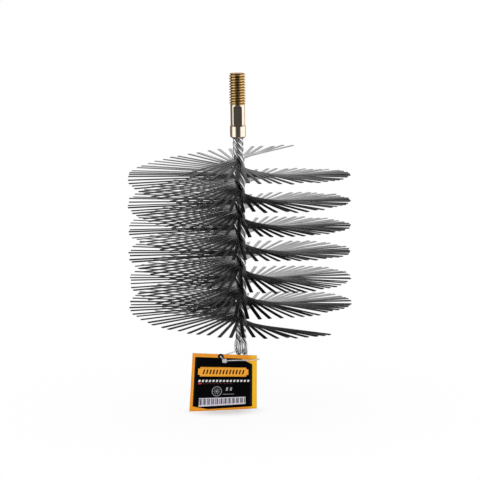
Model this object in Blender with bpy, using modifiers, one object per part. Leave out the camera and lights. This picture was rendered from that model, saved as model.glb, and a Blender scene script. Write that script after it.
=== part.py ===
"""Chimney sweep brush: a threaded stud, two folded wires twisted into a stem, flat
steel strips held between the wires, and a card tag on a nylon tie.

Metres, +Z up. The origin is the centre of the stud's end face, where a rod screws on.
The stem hangs down from it along -Z, and -Y is the front, where the tag hangs.
"""

import math

import bmesh
import bpy
import numpy as np
from mathutils import Matrix, Vector

# General room between pieces
FIT_GAP = 0.0003  # between pieces that touch on the real brush
CUT_OVERRUN = 0.001  # how far a cutter runs past what it cuts
JOIN_OVERLAP = 0.0002  # how far joined shapes run into each other
LEAST_STEP = 1e-6  # points closer than this are one point
SHARP_ANGLE = math.radians(35.0)  # edges sharper than this stay sharp

# Threaded stud
THREAD_DIAMETER = 0.0111
THREAD_PITCH = 0.001814
THREAD_LENGTH = 0.0212
THREAD_DEPTH_SHARE = 0.61  # of the pitch
THREAD_CREST_SHARE = 0.22  # of the pitch
THREAD_STEPS = 18  # round one turn
THREAD_SPARE_TURNS = 2  # swept past each end and cut off
STUD_CHAMFER = 0.0008
SHANK_DIAMETER = 0.0099
SHANK_LENGTH = 0.0139
ACROSS_FLATS = 0.0080
COLLAR_WALL = 0.0015
COLLAR_LENGTH = 0.0089
COLLAR_TOP_CHAMFER = 0.0006
COLLAR_FOOT_CHAMFER = 0.0012
FLAT_RUNOUT = 0.0008  # how far the flats run into the collar and stay off the thread
BORE_DEPTH = 0.0070
ROUND_STEPS = 32

# Twisted stem
WIRE_DIAMETER = 0.0024
TWIST_ROOM = 0.0010  # between neighbouring wires, which a twist brings closer together
TOP_TWIST_PITCH = 0.0166
TOP_NECK_LENGTH = 0.0140  # bare wires between collar and first strip
BOTTOM_NECK_LENGTH = 0.0089  # bare wires between last strip and eyes
BOTTOM_TURNS = 0.5  # turns in the bottom neck, before they are rounded to a half turn
SPREAD_RUN = 0.0025  # length over which the wires open to let the strips in
WIRE_END_ROOM = 0.0012  # between the wires' ends and the end of the bore
POINTS_PER_TURN = 16

# Bristles
BRUSH_DIAMETER = 0.1524
STRIP_WIDTH = 0.0020
STRIP_THICKNESS = 0.0003
STRIP_PITCH = 0.00056  # height from one strip to the next
STRIP_SIDE_ROOM = 0.0004  # between a strip's edge and the wires
STRIPS_PER_BUNDLE = 4
BUNDLE_COUNT = 51
TWIST_PITCH = 0.0352
FIRST_STRIP_TURN = 1 / 6  # the first strip's direction, in turns from +X
ROOT_LENGTH = 0.0032  # the pressed root that joins a bundle's strips
ROOT_WIDTH = 0.0016
BEND_ROOM = 0.0008  # between the root and the place where a strip bends
# How far the tips hang down in each half turn of strips, from the top, where they point
# straight forwards and straight back. Strips that point sideways are level.
FRONT_DROOPS = (0.0034, 0.0052, 0.0032, 0.0012, 0.0058, 0.0048, 0.0)
BACK_DROOPS = (-0.0012, -0.0030, -0.0030, -0.0032, -0.0038, -0.0028, -0.0020)
FIRST_DROOP_PLACE = 0.25  # of a half turn below the first strip

# Eyes at the foot of the stem
EYE_LENGTH = 0.0129
EYE_SWELL = 0.0076
EYE_SWELL_POWER = 0.95
EYE_BULGE = 0.0008
EYE_SPLAY = 0.0003
EYE_TWIST_RUN = 0.0045  # how far the stem's twist dies out into the eyes
EYE_STEPS = 24

# Card tag
TAG_TOP_WIDTH = 0.0440
TAG_FOOT_WIDTH = 0.0462
TAG_LEFT_HEIGHT = 0.0402
TAG_RIGHT_HEIGHT = 0.0380
TAG_THICKNESS = 0.0004
TAG_TILT = math.radians(3.0)  # right side lower
TAG_LEFT_LEAN = math.radians(5.0)  # foot of the left edge forward
TAG_RIGHT_LEAN = math.radians(-6.0)  # foot of the right edge back
TAG_FOOT_SHIFT = 0.0008  # the foot's left corner stands this much further left
TAG_CELLS = 6
TAG_HOLE_DROP = 0.0018  # from the top edge to the hole's centre
TAG_HOLE_SHARE = 0.44  # of the top edge, from the left
TAG_HOLE_STEPS = 16
TAG_ROOM = 0.0008  # between the tag and the strand behind it

# Nylon tie
TIE_DIAMETER = 0.0008
TIE_EYE_ROOM = 0.0005  # between the tie and the wires of the eyes
TIE_HOLE_ROOM = 0.0006  # between the tie and the rim of the tag's hole
TIE_HOLE_REACH = 0.0140  # from the stem's axis to the tag's hole
TIE_HOLE_RISE = 0.0003  # of the hole above the eyes' feet
TIE_HEAD_WIDTH = 0.0031
TIE_HEAD_HEIGHT = 0.0028
TIE_HEAD_DEPTH = 0.0022
TIE_HEAD_ROUNDING = 0.0005
TIE_HEAD_OFFSET = 0.0025  # from the hole's centre, rightwards and down
TIE_FRONT_SAG = 0.0006
TIE_EDGE_ROOM = 0.0016  # between the tag's right edge and the strand round it
TIE_IN_SHARE = 0.67  # of the hole's reach, where the tie turns towards the eyes
TIE_IN_DEPTH_SHARES = (0.45, 0.08)  # of the strand's depth, on the way into the eyes
TIE_OUT_SHARE = 0.33  # of the tag's right edge, where the strand lies flat
TIE_OUT_DEPTH_SHARES = (0.40, 0.93)  # of the strand's depth, below the eyes
TIE_FRONT_SHARES = (0.75, 0.50, 0.30)  # of the way from the head to the tag's edge
TIE_STEPS = 4  # points between two route points
TIE_ARC_FROM = math.radians(120.0)
TIE_ARC_TO = math.radians(-85.0)
TIE_ARC_POINTS = 8

# Heights along the stem that follow from the lengths above
THREAD_END_Z = -THREAD_LENGTH
SHANK_END_Z = THREAD_END_Z - SHANK_LENGTH
COLLAR_END_Z = SHANK_END_Z - COLLAR_LENGTH
BORE_END_Z = COLLAR_END_Z + BORE_DEPTH
FIRST_STRIP_Z = COLLAR_END_Z - TOP_NECK_LENGTH
STRIP_COUNT = STRIPS_PER_BUNDLE * BUNDLE_COUNT
LAST_STRIP_Z = FIRST_STRIP_Z - (STRIP_COUNT - 1) * STRIP_PITCH
GRIP_TOP_Z = FIRST_STRIP_Z + SPREAD_RUN
GRIP_FOOT_Z = LAST_STRIP_Z - SPREAD_RUN
EYE_TOP_Z = LAST_STRIP_Z - BOTTOM_NECK_LENGTH
EYE_FOOT_Z = EYE_TOP_Z - EYE_LENGTH

# Places that follow from the sizes above
WIRE_RADIUS = WIRE_DIAMETER / 2
NECK_OFFSET = WIRE_RADIUS + TWIST_ROOM / 2  # each wire's offset both ways in a bare neck
GRIP_ACROSS = STRIP_WIDTH / 2 + STRIP_SIDE_ROOM + WIRE_RADIUS
GRIP_ALONG = WIRE_RADIUS + FIT_GAP
BORE_RADIUS = math.sqrt(2) * NECK_OFFSET + WIRE_RADIUS + FIT_GAP
COLLAR_RADIUS = BORE_RADIUS + COLLAR_WALL
GRIP_FOOT_TURN = FIRST_STRIP_TURN + (FIRST_STRIP_Z - GRIP_FOOT_Z) / TWIST_PITCH
EYE_TURN = round(2 * (GRIP_FOOT_TURN + BOTTOM_TURNS)) / 2  # lays the eyes side by side along X
TIE_RADIUS = TIE_DIAMETER / 2
TAG_HOLE_RADIUS = TIE_RADIUS + TIE_HOLE_ROOM


def clear_scene():
    for thing in list(bpy.data.objects):
        bpy.data.objects.remove(thing)


def make_material(name, colour, roughness, metallic):
    material = bpy.data.materials.new(name)
    material.use_nodes = True
    shader = material.node_tree.nodes["Principled BSDF"]
    shader.inputs["Base Color"].default_value = (*colour, 1.0)
    shader.inputs["Roughness"].default_value = roughness
    shader.inputs["Metallic"].default_value = metallic
    return material


def link_piece(name, data, material, collection):
    piece = bpy.data.objects.new(name, data)
    if material:
        data.materials.append(material)
    collection.objects.link(piece)
    return piece


def link_cutter(name, data, cutters):
    cutter = link_piece(name, data, None, cutters)
    cutter.hide_render = True
    cutter.display_type = "WIRE"
    return cutter


def add_boolean(piece, other, operation):
    modifier = piece.modifiers.new(other.name, "BOOLEAN")
    modifier.object = other
    modifier.operation = operation


def mesh_of(builder, name):
    mesh = bpy.data.meshes.new(name)
    builder.to_mesh(mesh)
    builder.free()
    return mesh


def baked_mesh(thing, name):
    """The evaluated mesh of an object, with loose caps welded."""
    graph = bpy.context.evaluated_depsgraph_get()
    mesh = bpy.data.meshes.new_from_object(thing.evaluated_get(graph))
    mesh.name = name
    builder = bmesh.new()
    builder.from_mesh(mesh)
    bmesh.ops.remove_doubles(builder, verts=builder.verts, dist=LEAST_STEP)
    builder.to_mesh(mesh)
    builder.free()
    return mesh


def box_mesh(name, size, centre):
    builder = bmesh.new()
    place = Matrix.Translation(centre) @ Matrix.Diagonal((*size, 1.0))
    bmesh.ops.create_cube(builder, size=1.0, matrix=place)
    return mesh_of(builder, name)


def shade_round(mesh):
    mesh.shade_smooth()
    mesh.set_sharp_from_angle(angle=SHARP_ANGLE)


def profile_object(name, profile, collection):
    """An open line of (radius, height) points in the XZ plane, ready for a Screw modifier."""
    mesh = bpy.data.meshes.new(name)
    points = [(radius, 0.0, height) for radius, height in profile]
    mesh.from_pydata(points, [(i, i + 1) for i in range(len(points) - 1)], [])
    thing = bpy.data.objects.new(name, mesh)
    collection.objects.link(thing)
    return thing


def turned_mesh(name, profile, collection, steps=ROUND_STEPS):
    """A closed turned shape from (radius, height) points that run down its outer side."""
    turned = profile_object(name, profile, collection)
    modifier = turned.modifiers.new("turn", "SCREW")
    modifier.steps = steps
    modifier.render_steps = steps
    modifier.use_merge_vertices = True
    modifier.merge_threshold = LEAST_STEP
    result = baked_mesh(turned, name)
    bpy.data.objects.remove(turned)
    return result


def thread_mesh(name, collection):
    """A ridge swept clockwise down the stud, which makes a right-hand thread, cut flat
    and closed at both ends."""
    crest = THREAD_DIAMETER / 2
    root = crest - THREAD_DEPTH_SHARE * THREAD_PITCH
    crest_width = THREAD_CREST_SHARE * THREAD_PITCH
    flank = (THREAD_PITCH - crest_width) / 2
    ridge = [(root, 0.0), (crest, -flank), (crest, -flank - crest_width), (root, -THREAD_PITCH)]
    swept = profile_object(name, ridge, collection)
    swept.location.z = THREAD_SPARE_TURNS * THREAD_PITCH
    modifier = swept.modifiers.new("thread", "SCREW")
    modifier.steps = THREAD_STEPS
    modifier.render_steps = THREAD_STEPS
    modifier.angle = -2 * math.pi
    modifier.screw_offset = -THREAD_PITCH
    modifier.iterations = math.ceil(THREAD_LENGTH / THREAD_PITCH) + 2 * THREAD_SPARE_TURNS
    modifier.use_merge_vertices = True
    modifier.merge_threshold = LEAST_STEP
    result = baked_mesh(swept, name)
    builder = bmesh.new()
    builder.from_mesh(result)
    bmesh.ops.translate(builder, verts=builder.verts, vec=swept.location)
    for height, normal in ((0.0, (0, 0, 1)), (THREAD_END_Z, (0, 0, -1))):
        everything = [*builder.verts, *builder.edges, *builder.faces]
        bmesh.ops.bisect_plane(
            builder, geom=everything, plane_co=(0, 0, height), plane_no=normal, clear_outer=True
        )
        rim = [edge for edge in builder.edges if edge.is_boundary and on_level(edge, height)]
        bmesh.ops.holes_fill(builder, edges=rim)
    bmesh.ops.recalc_face_normals(builder, faces=builder.faces)
    builder.to_mesh(result)
    builder.free()
    bpy.data.objects.remove(swept)
    return result


def on_level(edge, height):
    return all(abs(vertex.co.z - height) < LEAST_STEP for vertex in edge.verts)


def make_stud(collection, cutters, material):
    """Threaded end, shank with two spanner flats, and the collar that holds the wires."""
    chamfered = [
        (0.0, CUT_OVERRUN),
        (THREAD_DIAMETER / 2 - STUD_CHAMFER - CUT_OVERRUN, CUT_OVERRUN),
        (THREAD_DIAMETER / 2 + CUT_OVERRUN, -STUD_CHAMFER - CUT_OVERRUN),
        (THREAD_DIAMETER / 2 + CUT_OVERRUN, THREAD_END_Z - CUT_OVERRUN),
        (0.0, THREAD_END_Z - CUT_OVERRUN),
    ]
    core = THREAD_DIAMETER / 2 - 2 * THREAD_DEPTH_SHARE * THREAD_PITCH
    body = [
        (0.0, THREAD_END_Z + THREAD_PITCH),
        (core, THREAD_END_Z + THREAD_PITCH),
        (core, THREAD_END_Z + JOIN_OVERLAP),
        (SHANK_DIAMETER / 2, THREAD_END_Z + JOIN_OVERLAP),
        (SHANK_DIAMETER / 2, SHANK_END_Z),
        (COLLAR_RADIUS - COLLAR_TOP_CHAMFER, SHANK_END_Z),
        (COLLAR_RADIUS, SHANK_END_Z - COLLAR_TOP_CHAMFER),
        (COLLAR_RADIUS, COLLAR_END_Z + COLLAR_FOOT_CHAMFER),
        (COLLAR_RADIUS - COLLAR_FOOT_CHAMFER, COLLAR_END_Z),
        (0.0, COLLAR_END_Z),
    ]
    bore = [
        (0.0, BORE_END_Z),
        (BORE_RADIUS, BORE_END_Z),
        (BORE_RADIUS, COLLAR_END_Z - CUT_OVERRUN),
        (0.0, COLLAR_END_Z - CUT_OVERRUN),
    ]
    stud = link_piece("rod_stud", thread_mesh("rod_stud", cutters), material, collection)
    turned = (
        ("end_chamfer", chamfered, "INTERSECT"),
        ("stud_body", body, "UNION"),
        ("wire_bore", bore, "DIFFERENCE"),
    )
    for name, profile, operation in turned:
        cutter = link_cutter(name, turned_mesh(name, profile, cutters), cutters)
        add_boolean(stud, cutter, operation)
    beyond = max(SHANK_DIAMETER, 2 * COLLAR_RADIUS) + CUT_OVERRUN
    flat_middle = (THREAD_END_Z + SHANK_END_Z) / 2 - FLAT_RUNOUT
    for name, side in (("front_flat", -1), ("back_flat", 1)):
        centre = (0.0, side * (ACROSS_FLATS + beyond) / 2, flat_middle)
        cutter = link_cutter(name, box_mesh(name, (beyond, beyond, SHANK_LENGTH), centre), cutters)
        add_boolean(stud, cutter, "DIFFERENCE")
    finished = baked_mesh(stud, "rod_stud")
    stud.modifiers.clear()
    stud.data = finished
    shade_round(finished)
    return stud


def ease(share):
    """0 to 1 with no slope at either end."""
    share = np.clip(share, 0.0, 1.0)
    return share * share * (3.0 - 2.0 * share)


def stem_turns(z):
    """Turns of the stem at height z. It grows downwards, so the twist is left-handed."""
    z = np.asarray(z, float)
    gripped = FIRST_STRIP_TURN + (FIRST_STRIP_Z - z) / TWIST_PITCH
    extra = np.maximum(z - GRIP_TOP_Z, 0.0) * (1 / TOP_TWIST_PITCH - 1 / TWIST_PITCH)
    share = np.clip((GRIP_FOOT_Z - z) / (GRIP_FOOT_Z - EYE_TOP_Z + EYE_TWIST_RUN), 0.0, 1.0)
    foot = GRIP_FOOT_TURN + (EYE_TURN - GRIP_FOOT_TURN) * (4.0 * share - share**4) / 3.0
    return np.where(z < GRIP_FOOT_Z, foot, gripped - extra)


def turned_points(along, across, z):
    """Points from offsets along and across the strips' direction at each height."""
    angle = 2 * math.pi * stem_turns(z)
    x = along * np.cos(angle) - across * np.sin(angle)
    y = along * np.sin(angle) + across * np.cos(angle)
    return np.stack([x, y, z], axis=-1)


def leg_points(wire_side, leg_side):
    """One straight leg of a folded wire, from its end in the collar down to the eye."""
    start = BORE_END_Z - WIRE_END_ROOM
    dense = np.linspace(start, EYE_TOP_Z, 4 * STRIP_COUNT)
    turns = stem_turns(dense)
    steps = math.ceil((turns[-1] - turns[0]) * POINTS_PER_TURN)
    z = np.interp(np.linspace(turns[0], turns[-1], steps + 1), turns, dense)
    left = np.minimum(GRIP_TOP_Z - z, z - GRIP_FOOT_Z)
    grip = ease(left / (SPREAD_RUN - STRIP_PITCH))
    along = NECK_OFFSET + grip * (GRIP_ALONG - NECK_OFFSET)
    across = NECK_OFFSET + grip * (GRIP_ACROSS - NECK_OFFSET)
    return turned_points(wire_side * along, leg_side * across, z)


def eye_offsets(angle):
    """The eye's offsets out along X and across it, and its height, for angles 0 to pi."""
    depth = np.sin(angle)
    along = NECK_OFFSET + EYE_SPLAY * depth + 4.0 * EYE_BULGE * depth * (1.0 - depth)
    across = np.cos(angle) * (NECK_OFFSET + EYE_SWELL * depth**EYE_SWELL_POWER)
    return along, across, EYE_TOP_Z - EYE_LENGTH * depth


def wire_points(wire_side):
    """A whole folded wire: down one leg, round its eye and up the other leg."""
    along, across, z = eye_offsets(np.linspace(0.0, math.pi, EYE_STEPS + 1)[1:-1])
    eye = turned_points(wire_side * along, across, z)
    return np.concatenate([leg_points(wire_side, 1), eye, leg_points(wire_side, -1)[::-1]])


def make_wire(name, points, collection, material):
    curve = bpy.data.curves.new(name, "CURVE")
    curve.dimensions = "3D"
    curve.bevel_depth = WIRE_RADIUS
    curve.bevel_resolution = 2
    curve.use_fill_caps = True
    spline = curve.splines.new("POLY")
    spline.points.add(len(points) - 1)
    spline.points.foreach_set("co", np.column_stack([points, np.ones(len(points))]).ravel())
    spline.use_smooth = True
    return link_piece(name, curve, material, collection)


def dense_line(points, step):
    """The same line with a point every step or closer."""
    length = np.concatenate([[0.0], np.cumsum(np.linalg.norm(np.diff(points, axis=0), axis=1))])
    places = np.linspace(0.0, length[-1], math.ceil(length[-1] / step) + 1)
    return places, np.stack([np.interp(places, length, points[:, i]) for i in range(3)], axis=1)


def print_wire_gaps(first, second):
    """Prints the least gap between the two wires, and between a wire's own two legs."""
    places, a = dense_line(first, WIRE_RADIUS / 4)
    _, b = dense_line(second, WIRE_RADIUS / 4)
    between = min(np.linalg.norm(b - point, axis=1).min() for point in a)
    apart = [
        np.linalg.norm(a[np.abs(places - place) > 4 * WIRE_DIAMETER] - point, axis=1).min()
        for place, point in zip(places, a)
    ]
    for words, distance in (("two wires", between), ("legs of one wire", min(apart))):
        print(f"least gap between the {words}: {(distance - WIRE_DIAMETER) * 1000:.2f} mm")


def strip_turn():
    """The angle from one strip to the next."""
    return 2 * math.pi * STRIP_PITCH / TWIST_PITCH


def tip_droop(number, side):
    """How far a strip's tip hangs down on its far side (1) or its near side (-1)."""
    facing = side * math.sin(2 * math.pi * FIRST_STRIP_TURN + number * strip_turn())
    places = FIRST_DROOP_PLACE + np.arange(len(FRONT_DROOPS))
    droops = FRONT_DROOPS if facing < 0 else BACK_DROOPS
    return abs(facing) * np.interp(number * strip_turn() / math.pi, places, droops)


def add_strip(builder, number, place):
    """One strip: straight from its near tip through the stem, then bent towards its far tip."""
    half = BRUSH_DIAMETER / 2
    bend = ROOT_LENGTH / 2 + BEND_ROOM
    near = tip_droop(number, -1)
    stations = ((-half, near), (bend, -near * bend / half), (half, tip_droop(number, 1)))
    corners = ((-1, -1), (1, -1), (1, 1), (-1, 1))
    rings = [
        [
            builder.verts.new(
                place @ Vector((along, wide * STRIP_WIDTH / 2, thick * STRIP_THICKNESS / 2 - droop))
            )
            for wide, thick in corners
        ]
        for along, droop in stations
    ]
    for ring, after in zip(rings, rings[1:]):
        for i in range(4):
            builder.faces.new((ring[i - 1], ring[i], after[i], after[i - 1]))
    builder.faces.new(rings[0])
    builder.faces.new(rings[-1])


def bundle_mesh(first, cutters):
    """A few crossed strips, each turned a little from the last, joined at their root."""
    builder = bmesh.new()
    turn = strip_turn()
    for i in range(STRIPS_PER_BUNDLE):
        place = Matrix.Translation((0.0, 0.0, -i * STRIP_PITCH)) @ Matrix.Rotation(i * turn, 4, "Z")
        add_strip(builder, first + i, place)
    bmesh.ops.recalc_face_normals(builder, faces=builder.faces)
    strips = link_cutter("bundle_strips", mesh_of(builder, "bundle_strips"), cutters)
    height = (STRIPS_PER_BUNDLE - 1) * STRIP_PITCH
    root_box = box_mesh("bundle_root", (ROOT_LENGTH, ROOT_WIDTH, height), (0.0, 0.0, -height / 2))
    root = link_cutter("bundle_root", root_box, cutters)
    root.rotation_euler.z = (STRIPS_PER_BUNDLE - 1) * turn / 2
    add_boolean(strips, root, "UNION")
    mesh = baked_mesh(strips, "bristle_bundle")
    bpy.data.objects.remove(strips)
    bpy.data.objects.remove(root)
    return mesh


def make_bristles(collection, cutters, material):
    """Every bundle of strips, one below the other round the stem."""
    for i in range(BUNDLE_COUNT):
        above = i * STRIPS_PER_BUNDLE
        mesh = bundle_mesh(above, cutters)
        bundle = link_piece(f"bristles_{i + 1:02d}", mesh, material, collection)
        bundle.location.z = FIRST_STRIP_Z - above * STRIP_PITCH
        bundle.rotation_euler.z = 2 * math.pi * FIRST_STRIP_TURN + above * strip_turn()


def eye_front():
    """How far the eyes reach forward of the stem's axis."""
    _, across, _ = eye_offsets(np.linspace(0.0, math.pi, 10 * EYE_STEPS))
    return across.max() + WIRE_RADIUS


def strand_y():
    return -(eye_front() + TIE_EYE_ROOM + TIE_RADIUS)


def tag_y():
    return strand_y() - TIE_RADIUS - TAG_ROOM - TAG_THICKNESS / 2


def hole_place():
    """The tag's hole, level with the foot of the eyes and to their left."""
    return np.array([-TIE_HOLE_REACH, tag_y(), EYE_FOOT_Z + TIE_HOLE_RISE])


def tag_point(across, down):
    """A point of the card from its hole's centre: across and down are shares, 0 to 1."""
    height = TAG_LEFT_HEIGHT + across * (TAG_RIGHT_HEIGHT - TAG_LEFT_HEIGHT)
    lean = TAG_LEFT_LEAN + across * (TAG_RIGHT_LEAN - TAG_LEFT_LEAN)
    top_x = (across - TAG_HOLE_SHARE) * TAG_TOP_WIDTH
    foot_x = -TAG_HOLE_SHARE * TAG_TOP_WIDTH - TAG_FOOT_SHIFT + across * TAG_FOOT_WIDTH
    drop = TAG_HOLE_DROP - down * height * math.cos(lean)
    return (top_x + down * (foot_x - top_x), -down * height * math.sin(lean), drop)


def make_tag(collection, cutters, material):
    """A thin card with a gentle twist, punched near the middle of its top edge."""
    builder = bmesh.new()
    bmesh.ops.create_grid(builder, x_segments=TAG_CELLS, y_segments=TAG_CELLS, size=0.5)
    for vertex in builder.verts:
        vertex.co = tag_point(vertex.co.x + 0.5, 0.5 - vertex.co.y)
    bmesh.ops.rotate(builder, verts=builder.verts, matrix=Matrix.Rotation(TAG_TILT, 3, "Y"))
    tag = link_piece("card_tag", mesh_of(builder, "card_tag"), material, collection)
    wall = tag.modifiers.new("thickness", "SOLIDIFY")
    wall.thickness = TAG_THICKNESS
    wall.offset = 0.0
    builder = bmesh.new()
    bmesh.ops.create_cone(
        builder, cap_ends=True, segments=TAG_HOLE_STEPS, radius1=TAG_HOLE_RADIUS,
        radius2=TAG_HOLE_RADIUS, depth=TAG_THICKNESS + 2 * CUT_OVERRUN,
        matrix=Matrix.Rotation(math.pi / 2, 4, "X"),
    )
    punch = link_cutter("tag_punch", mesh_of(builder, "tag_punch"), cutters)
    add_boolean(tag, punch, "DIFFERENCE")
    finished = baked_mesh(tag, "card_tag")
    tag.modifiers.clear()
    tag.data = finished
    bpy.data.objects.remove(punch)
    return tag


def head_place():
    x, y, z = hole_place()
    front = y - TAG_THICKNESS / 2 - FIT_GAP - TIE_HEAD_DEPTH / 2
    return np.array([x + TIE_HEAD_OFFSET, front, z - TIE_HEAD_OFFSET])


def tag_edge_x():
    """How far right the tag's top corner reaches, before the tag is tilted."""
    return hole_place()[0] + (1 - TAG_HOLE_SHARE) * TAG_TOP_WIDTH


def tie_route():
    """The tie's places, from its head through the tag's hole, through both eyes over
    their feet, behind the tag, round its right edge and back along its front."""
    hole_x, hole_y, hole_z = hole_place()
    head_x, head_y, head_z = head_place()
    behind = strand_y()
    arc = eye_foot_reach() + TIE_EYE_ROOM + TIE_RADIUS
    below = EYE_FOOT_Z - arc
    edge = tag_edge_x() + TIE_EDGE_ROOM
    in_first, in_last = TIE_IN_DEPTH_SHARES
    out_first, out_last = TIE_OUT_DEPTH_SHARES
    around = np.linspace(TIE_ARC_FROM, TIE_ARC_TO, TIE_ARC_POINTS)
    over_eyes = [(arc * math.cos(a), 0.0, EYE_FOOT_Z + arc * math.sin(a)) for a in around]
    front = [
        (head_x + share * (edge - head_x), head_y, head_z - 4 * share * (1 - share) * TIE_FRONT_SAG)
        for share in TIE_FRONT_SHARES
    ]
    return np.array([
        (head_x, head_y, head_z),
        (head_x - TIE_HEAD_WIDTH / 2, head_y, head_z + TIE_HEAD_HEIGHT / 2),
        (hole_x, hole_y - TAG_ROOM - TIE_RADIUS, hole_z),
        (hole_x, hole_y + TAG_ROOM, hole_z),
        (hole_x + TIE_HEAD_WIDTH / 2, behind + TIE_DIAMETER, hole_z),
        (TIE_IN_SHARE * hole_x, in_first * behind, hole_z + TIE_DIAMETER),
        (-arc - TIE_DIAMETER, in_last * behind, hole_z + 2 * TIE_DIAMETER),
        *over_eyes,
        (0.0, out_first * behind, below - TIE_RADIUS),
        (TIE_DIAMETER, out_last * behind, below),
        (TIE_OUT_SHARE * edge, behind, below + TIE_DIAMETER),
        (edge - TIE_HEAD_WIDTH / 2, behind + TIE_RADIUS, head_z - TIE_DIAMETER),
        (edge, tag_y(), head_z - TIE_RADIUS),
        (edge - TIE_HEAD_WIDTH / 2, head_y, head_z),
        *front,
        (head_x + TIE_HEAD_WIDTH / 3, head_y, head_z),
    ])


def eye_foot_reach():
    """How far the feet of the two eyes reach along X, with their wires."""
    return NECK_OFFSET + EYE_SPLAY + WIRE_RADIUS


def smooth_line(places, steps):
    """A Catmull-Rom line through the places: each stretch leaves in its neighbours' direction."""
    padded = np.concatenate([[2 * places[0] - places[1]], places, [2 * places[-1] - places[-2]]])
    a, b, c, d = (padded[i : len(padded) - 3 + i, None, :] for i in range(4))
    t = np.linspace(0.0, 1.0, steps, endpoint=False)[None, :, None]
    squared = (2 * a - 5 * b + 4 * c - d) * t**2
    cubed = (3 * b - a - 3 * c + d) * t**3
    line = (2 * b + (c - a) * t + squared + cubed) / 2
    return np.concatenate([line.reshape(-1, 3), places[-1:]])


def make_tie(collection, cutters, material):
    """A moulded nylon loop locked into its own head, with its origin on the eyes' feet."""
    pivot = np.array([0.0, 0.0, EYE_FOOT_Z])
    points = smooth_line(tie_route() - pivot, TIE_STEPS)
    strand = make_wire("tie_strand", points, cutters, None)
    strand.data.bevel_depth = TIE_RADIUS
    mesh = baked_mesh(strand, "tag_tie")
    bpy.data.objects.remove(strand)
    tie = link_piece("tag_tie", mesh, material, collection)
    head_size = (TIE_HEAD_WIDTH, TIE_HEAD_DEPTH, TIE_HEAD_HEIGHT)
    head = link_cutter("tie_head", box_mesh("tie_head", head_size, head_place() - pivot), cutters)
    rounding = head.modifiers.new("rounding", "BEVEL")
    rounding.width = TIE_HEAD_ROUNDING
    rounding.segments = 2
    add_boolean(tie, head, "UNION")
    finished = baked_mesh(tie, "tag_tie")
    tie.modifiers.clear()
    tie.data = finished
    bpy.data.objects.remove(head)
    shade_round(finished)
    tie.location = pivot
    return tie


def main():
    clear_scene()
    brush = bpy.data.collections.new("chimney_brush")
    cutters = bpy.data.collections.new("cutters")
    bpy.context.scene.collection.children.link(brush)
    bpy.context.scene.collection.children.link(cutters)

    yellow_zinc = make_material("yellow_zinc", (0.62, 0.46, 0.20), 0.32, 1.0)
    bright_wire = make_material("bright_wire", (0.58, 0.58, 0.60), 0.28, 1.0)
    dark_spring_steel = make_material("dark_spring_steel", (0.16, 0.16, 0.17), 0.42, 1.0)
    orange_card = make_material("orange_card", (0.90, 0.42, 0.04), 0.45, 0.0)
    white_nylon = make_material("white_nylon", (0.82, 0.82, 0.84), 0.35, 0.0)

    make_stud(brush, cutters, yellow_zinc)
    wires = [wire_points(side) for side in (1, -1)]
    for i, points in enumerate(wires):
        make_wire(f"stem_wire_{i + 1}", points, brush, bright_wire)
    print_wire_gaps(*wires)
    make_bristles(brush, cutters, dark_spring_steel)
    tie = make_tie(brush, cutters, white_nylon)
    tag = make_tag(brush, cutters, orange_card)
    tag.parent = tie
    tag.location = hole_place() - np.array(tie.location)
    for helper in list(cutters.objects):
        bpy.data.objects.remove(helper)
    bpy.data.collections.remove(cutters)


main()
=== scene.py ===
# %% [markdown]
# # A chimney sweep's brush
# The brush is a threaded stud, a stem of twisted wires, some two hundred flat steel strips
# that the stem holds, and a card tag on a nylon tie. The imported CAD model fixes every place
# and joint. This script loads it and dresses it with finer surfaces and finishes, all in
# metres and in the same frame: +Z runs up the stem, -Y is the front.

import math

import bpy
import numpy as np
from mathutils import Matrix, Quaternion, Vector


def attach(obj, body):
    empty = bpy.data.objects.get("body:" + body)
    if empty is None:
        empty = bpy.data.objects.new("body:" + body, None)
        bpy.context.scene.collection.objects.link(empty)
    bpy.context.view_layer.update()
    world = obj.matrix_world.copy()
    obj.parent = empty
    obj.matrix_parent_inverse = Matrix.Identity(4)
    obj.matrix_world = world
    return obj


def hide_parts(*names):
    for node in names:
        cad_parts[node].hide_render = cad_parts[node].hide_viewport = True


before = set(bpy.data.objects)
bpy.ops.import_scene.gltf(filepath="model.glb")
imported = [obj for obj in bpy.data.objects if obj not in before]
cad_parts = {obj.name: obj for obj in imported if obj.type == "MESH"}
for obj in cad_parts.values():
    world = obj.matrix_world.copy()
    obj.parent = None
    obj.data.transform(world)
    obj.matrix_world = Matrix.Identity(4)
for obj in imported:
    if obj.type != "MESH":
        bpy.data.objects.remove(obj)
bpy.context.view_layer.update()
scene = bpy.context.scene

# %% [markdown]
# ## Camera
# The photograph was taken from about 1.7 m away with a long lens, a little above the middle
# of the brush, and the stem leans slightly in the picture. A camera is placed by its
# distance and elevation from a target on the stem, and the lean is a roll about its line of
# sight. This is simpler to read than a matrix, and each number can be checked on its own.

# %% Camera
PHOTO_WIDTH = 480  # pixels
FOCAL_PIXELS = 2492
SENSOR_WIDTH = 36.0
CAMERA_DISTANCE = 1.70
CAMERA_ELEVATION = math.radians(8.75)
CAMERA_ROLL = math.radians(-0.85)
TARGET = Vector((0.0003, 0.0, -0.1140))

lens = bpy.data.cameras.new("photo_camera")
lens.sensor_width = SENSOR_WIDTH
lens.lens = FOCAL_PIXELS / PHOTO_WIDTH * SENSOR_WIDTH
lens.clip_start = 0.05
lens.clip_end = 50.0
camera = bpy.data.objects.new("photo_camera", lens)
scene.collection.objects.link(camera)
back = Vector((0.0, -math.cos(CAMERA_ELEVATION), math.sin(CAMERA_ELEVATION)))
camera.location = TARGET + CAMERA_DISTANCE * back
camera.rotation_mode = "QUATERNION"
camera.rotation_quaternion = (-back).to_track_quat("-Z", "Y") @ Quaternion((0, 0, 1), CAMERA_ROLL)
scene.camera = camera
print(f"lens {lens.lens:.0f} mm, {CAMERA_DISTANCE} m away")

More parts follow.
